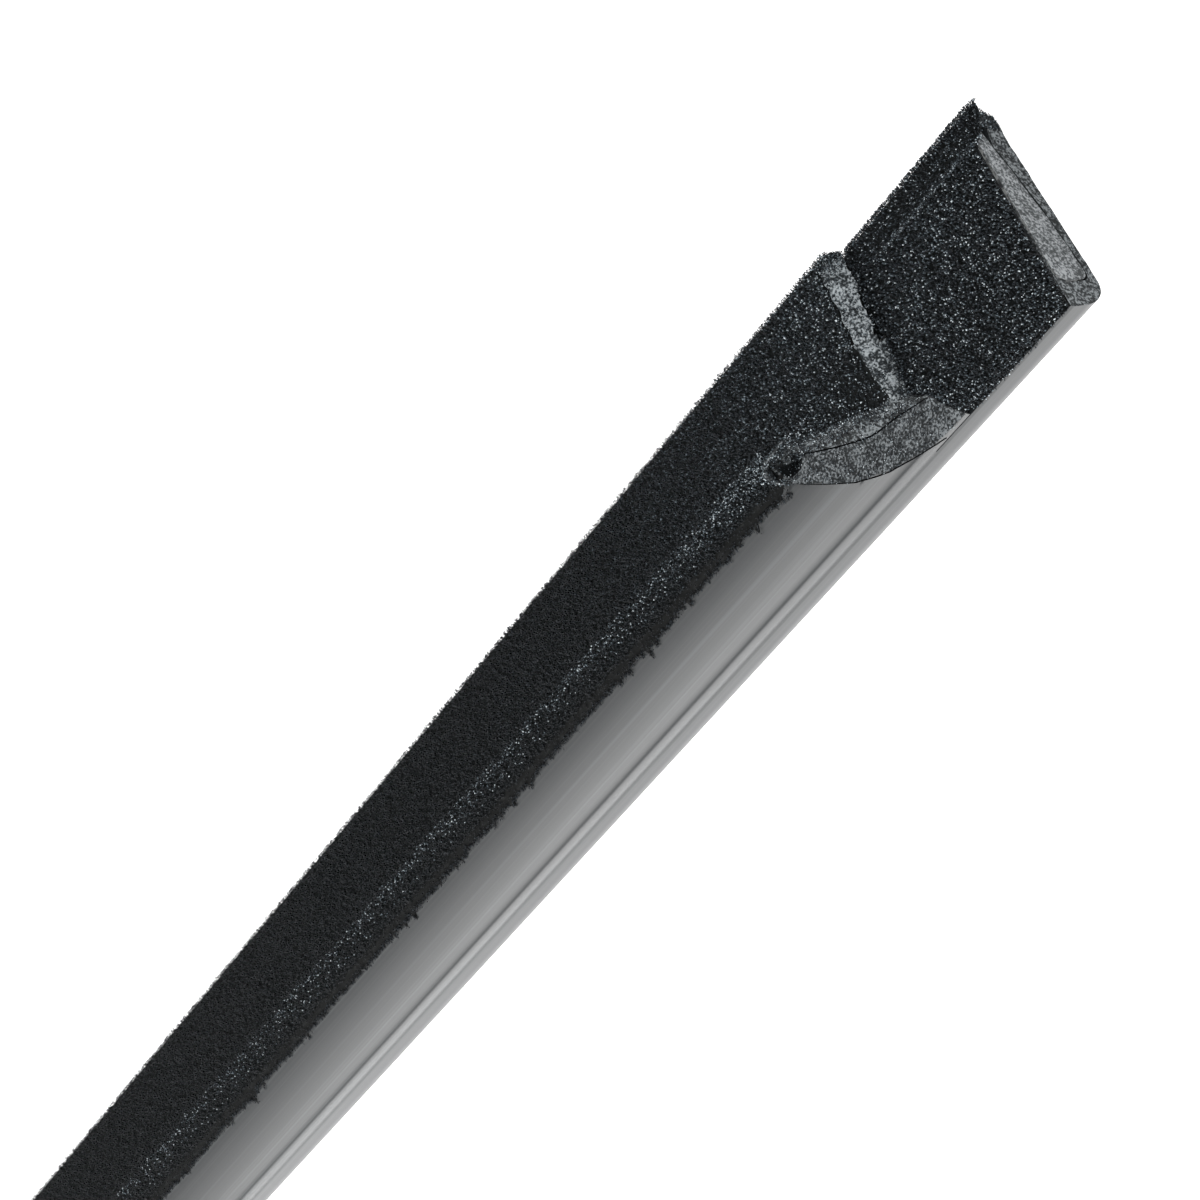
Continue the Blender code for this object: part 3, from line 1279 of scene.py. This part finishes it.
        # The pocket takes the black bed as painted shade.
        in_pocket = math.dist((from_tip, across), NOTCH.pocket) < 1.15
        root = from_tip > 10.0 and up > SECTION.ledge_rubber(across) + 0.1 and across < 8.45
        rounding = from_tip < 10.6 and across > 14.2 and normal.z > 0.5
        near_root = from_tip < 27.2 and across < NOTCH.at(from_tip)[0] + 0.05 and up > 4.3
        return rounding or (root and normal.z > 0.9) or (near_root and normal.z > 0.97) or in_pocket

    def build_core(self) -> None:
        """Extrudes the stiff core and cuts its end."""
        f = self.finishes
        core = tag_faces(prism("stiff_core", self.core_outline(0.0), -2.0, SECTION.length), Skin.MOULDED)
        dragged = lambda a, u: -0.12 * max(0.0, 1 - a / 4)
        carve(core, [rough_cutter("end", dragged, lambda a: -0.8, 6.1, (-0.9, 16.2), 0.03, 7.0)])
        smooth(core, 32)
        finish_piece(core, Body.BASE, ["carrier_strip"], [f.core_skin, f.core_cut])

    def build(self) -> None:
        """Builds every piece on the base."""
        self.build_rubber()
        self.build_core()
        self.build_ledge()
        self.build_channel()
        self.build_shoulder()
        self.build_curl()
        self.build_film()

    def rim_size(self, from_tip: Number) -> Number:
        """How full the ledge's rim is: it closes at both ends."""
        stations = (-1.5, -1.3, -0.95, -0.45, -0.1, 12.9, 13.6)
        return np.interp(from_tip, stations, (0.3, 0.48, 0.68, 0.92, 1.0, 1.0, 0.6))

    def build_ledge(self) -> None:
        """The bare ledge's flock: its mat, its rounded rim and its fibres."""
        s, f = SECTION, self.finishes
        near = lambda a: self.tip_reach(a, 2.7) + 0.04
        far = lambda a: float(WALL.reach(a, 3.2)) + 0.1
        across = (0.35, self.flock_right)
        mat = bed("ledge_flock_bed", near, far, across, lambda a: s.ledge(a) - self.sunk, 0.22)
        finish_piece(mat, Body.BASE, ["base_flock"], [f.bed])
        rings = []
        for i in range(64):
            from_tip = -1.5 + 15.05 * i / 63
            size = float(self.rim_size(from_tip))
            spot = s.place(from_tip, 0, 0)
            centre = (0.1 + 1.02 * size, 2.82 + 0.04 * ripple(spot, 1.5))
            ring = arc(centre, (1.06 * size, 0.36 * size), 0, 337.5, 15)
            rings.append([s.place(from_tip, a, u) for a, u in ring])
        rim = sweep("ledge_rim_bed", rings)
        smooth(rim, 60)
        finish_piece(rim, Body.BASE, [], [f.bed])

        def rim_top(a: Array, b: Array) -> Spots:
            """The spots round the rim's top."""
            turn, from_tip = np.pi * (1.15 * b - 0.05), -1.5 + 15.1 * a
            size = self.rim_size(from_tip)
            across = 0.1 + 1.02 * size + 1.04 * size * np.cos(turn)
            spots = stack(from_tip, across, 2.82 + 0.34 * size * np.sin(turn))
            return spots, stack(-1.5 * (1 - size), 0.6 * np.cos(turn), np.sin(turn) + 0.15)

        def rounding(a: Array, b: Array) -> Spots:
            """The spots on the smooth side's rounding, beside the bare ledge."""
            turn = np.radians(82 - 52 * b)
            across = s.side_edge + 0.66 * np.cos(turn)
            spots = stack(-0.05 + 10.6 * a, across, s.round_up + 0.68 * np.sin(turn))
            return spots, stack(0.0 * a, np.cos(turn), np.sin(turn))

        right, mat_top = self.flock_right + 0.1, lambda t, a: s.ledge(a) - self.sunk - 0.02
        top = lying((-0.1, 15.4), (2.0, right), mat_top, (0, -0.05, 1))
        crease = lying((-1.0, 10.5), (2.12, 2.24), 3.0, (0, 0.3, 1))
        corner = facing((0.5, 1.6), (0.3, 2.9), self.tip_reach, (-1, -0.3, 0.1))
        wall = facing((6.7, 11.0), (3.5, 5.0), WALL.reach, (-1, 0, 0.3))
        low_reach, foot_top = lambda a, u: WALL.reach(a, 3.3), lambda a: s.ledge(a) + 0.45
        foot = facing((0.8, 11.2), (s.ledge, foot_top), low_reach, (-1, 0, 0.6), -0.05, 1.5)
        # The crease's and the cut wall's fibres are mostly painted pale as painted glints; the rest carry a few.
        patches = [
            Patch(top, 15.5 * 12.7, lambda spots: spots[:, 0] < WALL.reach(spots[:, 1], 3.2), bright=0.24),
            Patch(rim_top, 15.1 * 2.7, bright=0.2, density=1.2, thick=0.8),
            Patch(crease, 11.5 * 0.14, bright=0.9, density=2.4, length=0.7),
            Patch(corner, 1.1 * 2.6, bright=0.25, density=1.2, lean=60, length=0.8),
            Patch(wall, 4.3 * 1.5, bright=0.7, density=0.4, lean=60, length=0.5),
            Patch(foot, 10.4 * 0.45, bright=0.25, density=0.8, lean=60, length=0.8),
            Patch(rounding, 10.6 * 0.62, bright=0.15, density=1.3, length=0.7),
        ]
        grow_flock("ledge_flock", patches, 11, Body.BASE, f.fibre, 66.0)

    def build_channel(self) -> None:
        """The flock that the lip hides: on the channel under it and down the free edge."""
        s, f = SECTION, self.finishes
        drop = 0.24
        outline = [(0.1, 0.8), (s.coat, 0.75), (s.coat, s.ledge(s.coat) - s.coat)]
        outline += [(6.3, s.ledge(6.3) - s.coat), (6.3, s.ledge(6.3) - drop)]
        outline += [(0.35, s.ledge(0.35) - drop), (0.14, s.ledge(0) - drop - 0.1), (0.1, s.ledge(0) - 0.5)]
        channel = prism("channel_flock_bed", outline, 13.6, s.length, 60)
        smooth(channel, 40)
        finish_piece(channel, Body.BASE, [], [f.bed])
        edge = [(0.1, 0.8), (s.coat, 0.75), (s.coat, s.ledge(s.coat) - s.coat), (0.1, s.ledge(0) - 0.4)]
        front = prism("front_edge_flock_bed", edge, -0.2, 13.7, 20)
        finish_piece(front, Body.BASE, [], [f.bed])

        free = lying((-0.4, s.length), 0.12, (0.75, 2.95), (0, -1, 0))
        near = 14.3
        under = lying((near, s.length), (0.2, 6.3), lambda t, a: s.ledge(a) - drop, (0, 0, 1))
        patches = [
            Patch(free, s.length * 2.2, bright=0.02, density=0.62, thick=0.6),
            Patch(under, (s.length - near) * 6.1, bright=0.1, density=0.26, length=0.85),
        ]
        grow_flock("channel_flock", patches, 13, Body.BASE, f.fibre)

    def build_shoulder(self) -> None:
        """The flock right of the ridge, which widens beside the notch."""
        s, f = SECTION, self.finishes
        ends = ((lambda a: 26.6), (lambda a: s.length))
        strip = bed("shoulder_flock_bed", *ends, (self.root_left, 8.5), lambda a: s.side(a) + 0.14, 0.3, 0.1)
        finish_piece(strip, Body.BASE, ["shoulder_flock"], [f.bed])

        def over(lift: float) -> Callable[[Array, Array], Array]:
            """A height function: the side's height and a little more."""
            return lambda from_tip, across: s.side(across) + lift

        far, behind_wall = s.length, WALL.behind(0.05, 5.2)
        left, right = (lambda t: NOTCH.at(t)[0]), (lambda t: NOTCH.at(t)[3])
        edge = lambda t: np.array([self.film_edge(x) for x in t])
        cut_top = lambda t, a: np.minimum(NOTCH.floor(t, a), s.side(a))
        top = lying((26.6, far), (6.8, 8.55), over(0.1), (0, 0.1, 1))
        glints = lying((27.2, far), (6.75, 8.05), over(0.16), (0, 0.2, 1), (1.7, 1.6))
        stray = lying((26.2, far), (8.5, 9.6), over(0.12), (0, 0.1, 1), (1.0, 1.7))
        spikes = lying((26.4, far), (lambda t: edge(t) - 0.3, edge), over(0.05), (-0.3, 1, 0.25))
        root = lying((15.0, 27.0), (self.root_left, lambda t: left(t) + 0.15), over(-0.04), (-0.05, 0.1, 1))
        faces = lying((12.0, 26.0), (left, right), NOTCH.floor, (0, 0.2, 1))
        fringe = lying((14.0, 26.5), (left, lambda t: left(t) + 0.9), cut_top, (0, 0.4, 1), (1.0, 1.6))
        length = s.length - 27.0
        # The glints patch and the notch's faces carry many painted glints: fibres painted pale as painted
        # highlights.
        patches = [
            Patch(top, length * 1.85, bright=0.13, lean=48, fade=0.9),
            Patch(glints, length * 1.3, bright=0.7, density=0.17, lean=50, length=0.85),
            Patch(stray, length * 1.1, bright=0.1, density=0.3, lean=80, length=0.7, thick=0.8, fade=0.9),
            Patch(spikes, length * 0.4, bright=0.0, density=1.1, lean=55, length=1.0, thick=0.9),
            Patch(root, 12.0 * 2.2, behind_wall, bright=0.28, density=1.2, lean=50, length=0.8),
            Patch(faces, 14.0 * 3.3, bright=0.45, density=0.4, lean=70, length=0.4, thick=0.8),
            Patch(fringe, 12.0 * 0.9, behind_wall, bright=0.28, density=1.3, lean=60, length=0.6),
        ]
        grow_flock("shoulder_flock_fibres", patches, 23, Body.BASE, f.fibre)

    def build_curl(self) -> None:
        """The curled paring that stands round the notch's blind end, with its fibres."""
        s, f = SECTION, self.finishes
        from_tips = (24.4, 25.6, 26.6, 27.05, 27.15, 26.95, 26.5, 26.1)
        across = (6.85, 6.95, 7.0, 7.35, 7.8, 8.35, 8.8, 9.0)
        steps = 36
        rows = np.linspace(0, len(across) - 1, steps)
        along = stack(*(np.interp(rows, range(len(across)), values) for values in (from_tips, across)))
        rings, places = [], []
        for i, (from_tip, across) in enumerate(along):
            ahead = along[min(i + 1, steps - 1)] - along[max(i - 1, 0)]
            ahead = ahead / np.linalg.norm(ahead)
            out = (-ahead[1], ahead[0])
            size = math.sin(math.pi * (0.08 + 0.84 * i / (steps - 1))) ** 0.6
            foot = s.side(across) - 0.1
            ring = []
            for x, y in arc((0.0, 0.1), (0.17 * size, 0.42 * size), 0, 324, 9):
                wobble = 0.03 * ripple(s.place(from_tip, across, y), 0.3, 4.0)
                ring.append(s.place(from_tip + out[0] * (x + wobble), across + out[1] * (x + wobble), foot + y))
            rings.append(ring)
            places.append((from_tip, across, foot + 0.1 + 0.36 * size))
        curl = sweep("pared_curl", rings)
        smooth(curl, 60)
        finish_piece(curl, Body.BASE, [], [f.cut])
        line = np.array(places)

        def crown(a: Array, b: Array) -> Spots:
            """The spots along the paring's top."""
            spots = np.stack([np.interp(a * (steps - 1), range(steps), line[:, i]) for i in range(3)], axis=1)
            spots[:, 1] += 0.3 * (b - 0.5)
            spots[:, 2] -= 0.6 * np.abs(b - 0.5)
            return spots, stack(0.0 * a, b - 0.5, 0.6)

        # Most of the paring's fibres are painted pale as painted glints.
        patches = [Patch(crown, 4.5 * 0.6, bright=0.6, density=1.5, lean=70, length=0.7)]
        grow_flock("curl_flock", patches, 29, Body.BASE, f.fibre)

    def film_edge(self, from_tip: float) -> float:
        """The film's ragged edge, as a place across: lumps, short spikes and a wider patch by the notch."""
        spot = Vector((from_tip, 0, 0)) * MM
        edge = 9.3 + 0.16 * ripple(spot, 2.6, 1.0) + 0.14 * ripple(spot, 0.6, 4.0)
        edge += 1.3 * max(0.0, ripple(spot, 0.5, 12.0) - 0.3) + 0.7 * max(0.0, ripple(spot, 1.6, 5.0) - 0.25)
        return edge + 0.4 * min(1.0, max(0.0, (28.5 - from_tip) / 2.5))

    def build_film(self) -> None:
        """The bare adhesive's film, with its ragged edge."""
        s = SECTION
        near, far, left = 26.1, s.length, 8.3
        bm = bmesh.new()
        bmesh.ops.create_grid(bm, x_segments=1100, y_segments=8, size=0.5)
        for v in bm.verts:
            from_tip = near + (v.co.x + 0.5) * (far - near)
            share = v.co.y + 0.5
            edge = self.film_edge(from_tip)
            edge = left + (edge - left) * min(1.0, max(0.0, from_tip - near) / 1.6) ** 0.6
            across = left + (edge - left) * share
            lift = 0.12 - 0.085 * share**2 + 0.02 * ripple(s.place(from_tip, across, 0), 0.5, 2.0) * (1 - share)
            v.co = s.place(from_tip, across, s.side(across) + lift)
        grown = bmesh.ops.extrude_face_region(bm, geom=list(bm.faces))
        for v in grown["geom"]:
            if isinstance(v, bmesh.types.BMVert):
                across = s.width / 2 - v.co.y / MM
                v.co.z = (s.side(across) + 0.01) * MM
        bmesh.ops.recalc_face_normals(bm, faces=bm.faces)
        film = store("adhesive_edge", bm)
        smooth(film, 60)
        finish_piece(film, Body.BASE, ["adhesive_film"], [self.finishes.film])


@dataclass
class Lip:
    """The sealing lip, its flock, and the thin web that it flexes on.

    Args:
        finishes: the materials.
        sunk: how far the mat lies below the top of the flock.
        below: a height below the lip, from which its cut is made.
        piles: the fibres' piles, each with its name, its start and end from the tip and its density. One pile would
            have too many triangles.
    """

    finishes: Finishes
    sunk: float = 0.2
    below: float = 2.6
    piles: tuple[tuple[str, float, float, float], ...] = (
        ("lip_flock_near", 13.0, 62.0, 1.15),
        ("lip_flock_middle", 62.0, 118.0, 1.0),
        ("lip_flock_far", 118.0, SECTION.length, 0.9),
    )

    def outline(self) -> list[Point]:
        """The lip's rubber section."""
        s = SECTION
        top = s.height - s.under
        points = [(s.under, s.ledge(s.under) + s.lip_lift)]
        points += [(s.lip_right - 0.5, s.ledge(s.lip_right) + s.lip_lift - 0.03)]
        points += [(s.lip_right, s.ledge(s.lip_right) + s.lip_lift + 0.15), (s.lip_right, top), (0.75, top)]
        points += [(0.5, top - 0.1), (s.under, top - 0.3)]
        return points

    def build(self) -> None:
        """Builds the lip's rubber, bed and fibres."""
        s, f = SECTION, self.finishes
        rubber = tag_faces(prism("lip_blade", self.outline(), 5.0, s.length), Skin.MOULDED)
        carve(rubber, [wall_cutter((-1.0, 8.2), lambda a: self.below)])
        retag(rubber, Skin.ADHESIVE_AND_SHADE, lambda t, a, u, n: n.z > 0.5 or a > 6.1)
        retag(rubber, Skin.CUT, lambda t, a, u, n: abs(n.x) > 0.5)
        smooth(rubber, 32)
        finish_piece(rubber, Body.LIP, ["lip_rubber"], [f.skin, f.band, f.bed])
        low, edge = s.height - s.coat, s.ledge(0.0) + s.lip_lift
        bed_top = s.height - self.sunk
        right = s.lip_right + 0.04
        outline = [(0.1, edge + 0.1), (s.coat, edge), (s.coat, low - 0.22), (0.62, low)]
        outline += [(right - 0.08, low), (right, low + 0.05), (right - 0.06, bed_top), (0.5, bed_top)]
        outline += [(0.2, bed_top - 0.12), (0.1, bed_top - 0.4)]
        mat = tag_faces(prism("lip_flock_bed", outline, 5.0, s.length), Skin.MOULDED)
        carve(mat, [wall_cutter((-1.0, 8.2), lambda a: self.below)])
        finish_piece(mat, Body.LIP, ["lip_flock"], [f.bed, f.bed])
        for name, near, far, density in self.piles:
            self.build_fibres(name, near, far, edge, bed_top, density)
        self.build_web()

    def build_web(self) -> None:
        """The thin web that the lip flexes on, and its flock."""
        s, f = SECTION, self.finishes
        spots = [s.lip_right - 0.06 + (s.wall_left + 0.05 - s.lip_right + 0.06) * i / 6 for i in range(7)]
        outline = [(a, 3.75) for a in spots] + [(a, s.side(s.wall_left) + 0.1) for a in reversed(spots)]
        web = tag_faces(prism("lip_web", outline, 5.0, s.length), Skin.MOULDED)
        carve(web, [wall_cutter((5.5, 7.5), lambda a: self.below)])
        retag(web, Skin.ADHESIVE_AND_SHADE, lambda t, a, u, n: True)
        retag(web, Skin.CUT, lambda t, a, u, n: abs(n.x) > 0.5)
        finish_piece(web, None, [], [f.skin, f.band, f.bed])

        top, far = s.side(s.wall_left), s.length
        crease = lambda t, a: np.interp(t, (20.0, 30.0), (0.0, 0.14)) * np.exp(-(((a - 6.55) / 0.16) ** 2))
        across = (s.lip_right - 0.1, s.lip_right + 0.52)
        crest = lying((13.5, far), across, lambda t, a: top + 0.14 - crease(t, a), (0, 0.1, 1))
        across = (s.lip_right - 0.06, s.lip_right + 0.54)
        glints = lying((26.5, far), across, top + 0.17, (0, 0.5, 1), (1.5, 1.0))
        keep = WALL.behind(0.06, 5.2)
        # The glints patch along the crest is mostly painted pale as painted glints.
        patches = [
            Patch(crest, (far - 13.5) * 0.62, keep, bright=0.14, density=1.2, lean=40, fade=0.6),
            Patch(glints, (far - 26.5) * 0.6, bright=0.75, density=0.32, lean=50, length=0.85),
        ]
        grow_flock("web_flock", patches, 53, None, f.fibre)

    def build_fibres(
        self, name: str, near: float, far: float, edge: float, bed_top: float, density: float
    ) -> None:
        """The fibres on a length of the lip: on its top, its free edge and its cut end.

        Args:
            name: the piece's name.
            near: where the length starts, from the tip.
            far: where it ends.
            edge: the height of the free edge's foot.
            bed_top: the height of the mat's top.
            density: how thick the flock is beside the pile's own.
        """
        s, long = SECTION, far - near

        def free(a: Array, b: Array) -> Spots:
            """The spots down the lip's free edge and round its upper corner."""
            up = edge + 0.08 + 1.9 * b
            out = np.where(up > bed_top - 0.2, 0.5, 1.0)
            spots = stack(near + long * a, 0.14 + 0.2 * (up > bed_top - 0.15), up.clip(0, bed_top - 0.04))
            return spots, stack(0.0 * a, -out, 1.2 - out)

        keep = WALL.behind(0.06)
        top = lying((near, far), (0.3, s.lip_right), bed_top - 0.04, (0, 0, 1))
        patches = [
            Patch(top, long * 5.9, keep, bright=0.2, density=density, fade=0.78),
            Patch(free, long * 1.9, keep, bright=0.02, density=density * 0.7, thick=0.6, fade=0.5),
        ]
        if near < 14:
            up, brow_reach = (edge + 0.1, edge + 1.95), lambda a, u: WALL.reach(a, 5.4) - 0.02
            cut = facing((0.1, 6.1), up, WALL.reach, (-1, 0, 0.3), 0.03)
            brow = facing((0.25, 6.35), bed_top - 0.05, brow_reach, (-0.7, 0, 0.7), (0.0, 0.22))
            corner = facing((0.12, 1.02), up, WALL.reach, (-1, -0.4, 0.3), 0.02)
            # Sparse thick fibres, all painted pale: soft painted highlights on the lip's top.
            painted_glint_clumps = Patch(
                top, long * 5.9, keep, bright=1.0, density=0.012, lean=60, length=1.1, thick=1.8, fade=0.5
            )
            # The cut end's, brow's and corner's fibres are largely painted pale as painted glints.
            patches += [
                Patch(cut, 6.0 * 1.85, bright=0.8, density=0.7, lean=65, length=0.5),
                Patch(brow, 6.1 * 0.22, bright=0.75, density=2.2, lean=60, length=0.75),
                Patch(corner, 0.9 * 1.9, bright=0.6, density=3.0, lean=65, length=0.7),
                painted_glint_clumps,
            ]
        grow_flock(name, patches, 37 + int(near), Body.LIP, self.finishes.fibre)


@dataclass
class Studio:
    """A white floor, soft light and the camera.

    Args:
        azimuth: the camera's direction round the strip, in degrees.
        elevation: its height above the floor, in degrees.
        roll: its turn about its own axis, in degrees.
        distance: from the point aimed at, in strip widths.
        aim: that point, in strip widths: from the tip, across from the middle and up.
        shift: how far the aim then moves to the picture's right and up, in strip widths.
        field_of_view: in degrees.
    """

    azimuth: float = 61.754
    elevation: float = 40.877
    roll: float = -100.083
    distance: float = 17.317
    aim: tuple[float, float, float] = (-2.5, 0.0, 0.2)
    shift: tuple[float, float] = (-0.502, -0.184)
    field_of_view: float = 17.89

    def camera(self) -> None:
        """Places the camera."""
        az, el, roll = (math.radians(x) for x in (self.azimuth, self.elevation, self.roll))
        back = Vector((math.sin(az) * math.cos(el), -math.cos(az) * math.cos(el), math.sin(el)))
        right = Vector((0, 0, 1)).cross(back).normalized()
        up = back.cross(right)
        turned_right = right * math.cos(roll) + up * math.sin(roll)
        turned_up = up * math.cos(roll) - right * math.sin(roll)
        unit = SECTION.width * MM
        aim = Vector((SECTION.tip * MM, 0, 0)) + Vector(self.aim) * unit
        aim += (turned_right * self.shift[0] + turned_up * self.shift[1]) * unit
        data = bpy.data.cameras.new("camera")
        data.angle = math.radians(self.field_of_view)
        data.clip_start, data.clip_end = 0.01, 10.0
        obj = bpy.data.objects.new("camera", data)
        rows = Matrix((turned_right, turned_up, back)).transposed().to_4x4()
        obj.matrix_world = Matrix.Translation(aim + back * self.distance * unit) @ rows
        bpy.context.scene.collection.objects.link(obj)
        bpy.context.scene.camera = obj

    def softbox(self, name: str, direction: Vector, distance: float, size: float, power: float) -> None:
        """An area light that looks at the strip.

        Args:
            name: the light's name.
            direction: from the strip to the light.
            distance: from the strip, in metres.
            size: its side, in metres.
            power: in watts.
        """
        data = bpy.data.lights.new(name, "AREA")
        data.shape = "SQUARE"
        data.size = size
        data.energy = power
        obj = bpy.data.objects.new(name, data)
        target = Vector((0.05, 0, 0.004))
        obj.location = target + direction.normalized() * distance
        obj.rotation_euler = direction.to_track_quat("Z", "Y").to_euler()
        bpy.context.scene.collection.objects.link(obj)

    def build(self) -> None:
        """Lays the floor and sets the lights and the camera."""
        self.camera()
        self.softbox("sheen_light", Vector((-0.666, -0.34, 0.7)), 0.6, 0.4, 5.2)
        self.softbox("edge_light", Vector((-0.666, -0.75, 0.14)), 0.6, 0.46, 7.0)
        self.softbox("fill_light", Vector((0.85, -0.35, 0.6)), 0.7, 0.5, 4.5)
        world = bpy.data.worlds.new("studio")
        world.use_nodes = True
        world.node_tree.nodes["Background"].inputs["Color"].default_value = (1, 1, 1, 1)
        world.node_tree.nodes["Background"].inputs["Strength"].default_value = 0.4
        bpy.context.scene.world = world
        bm = bmesh.new()
        bmesh.ops.create_grid(bm, x_segments=1, y_segments=1, size=4.0)
        floor = store("floor", bm)
        paper = bpy.data.materials.new("white_paper_floor")
        paper.use_nodes = True
        shader = paper.node_tree.nodes["Principled BSDF"]
        shader.inputs["Base Color"].default_value = linear("#F4F4F4")
        shader.inputs["Roughness"].default_value = 0.9
        shader.inputs["Emission Color"].default_value = linear("#FFFFFF")
        shader.inputs["Emission Strength"].default_value = 0.6
        floor.data.materials.append(paper)
        bpy.context.scene.view_settings.view_transform = "Standard"


def main() -> None:
    """Builds the strip and the studio."""
    logging.basicConfig(level=logging.INFO, format="%(name)s %(message)s")
    finishes = Finishes()
    Studio().build()
    StripBase(finishes).build()
    Lip(finishes).build()


if __name__ == "__main__":
    main()
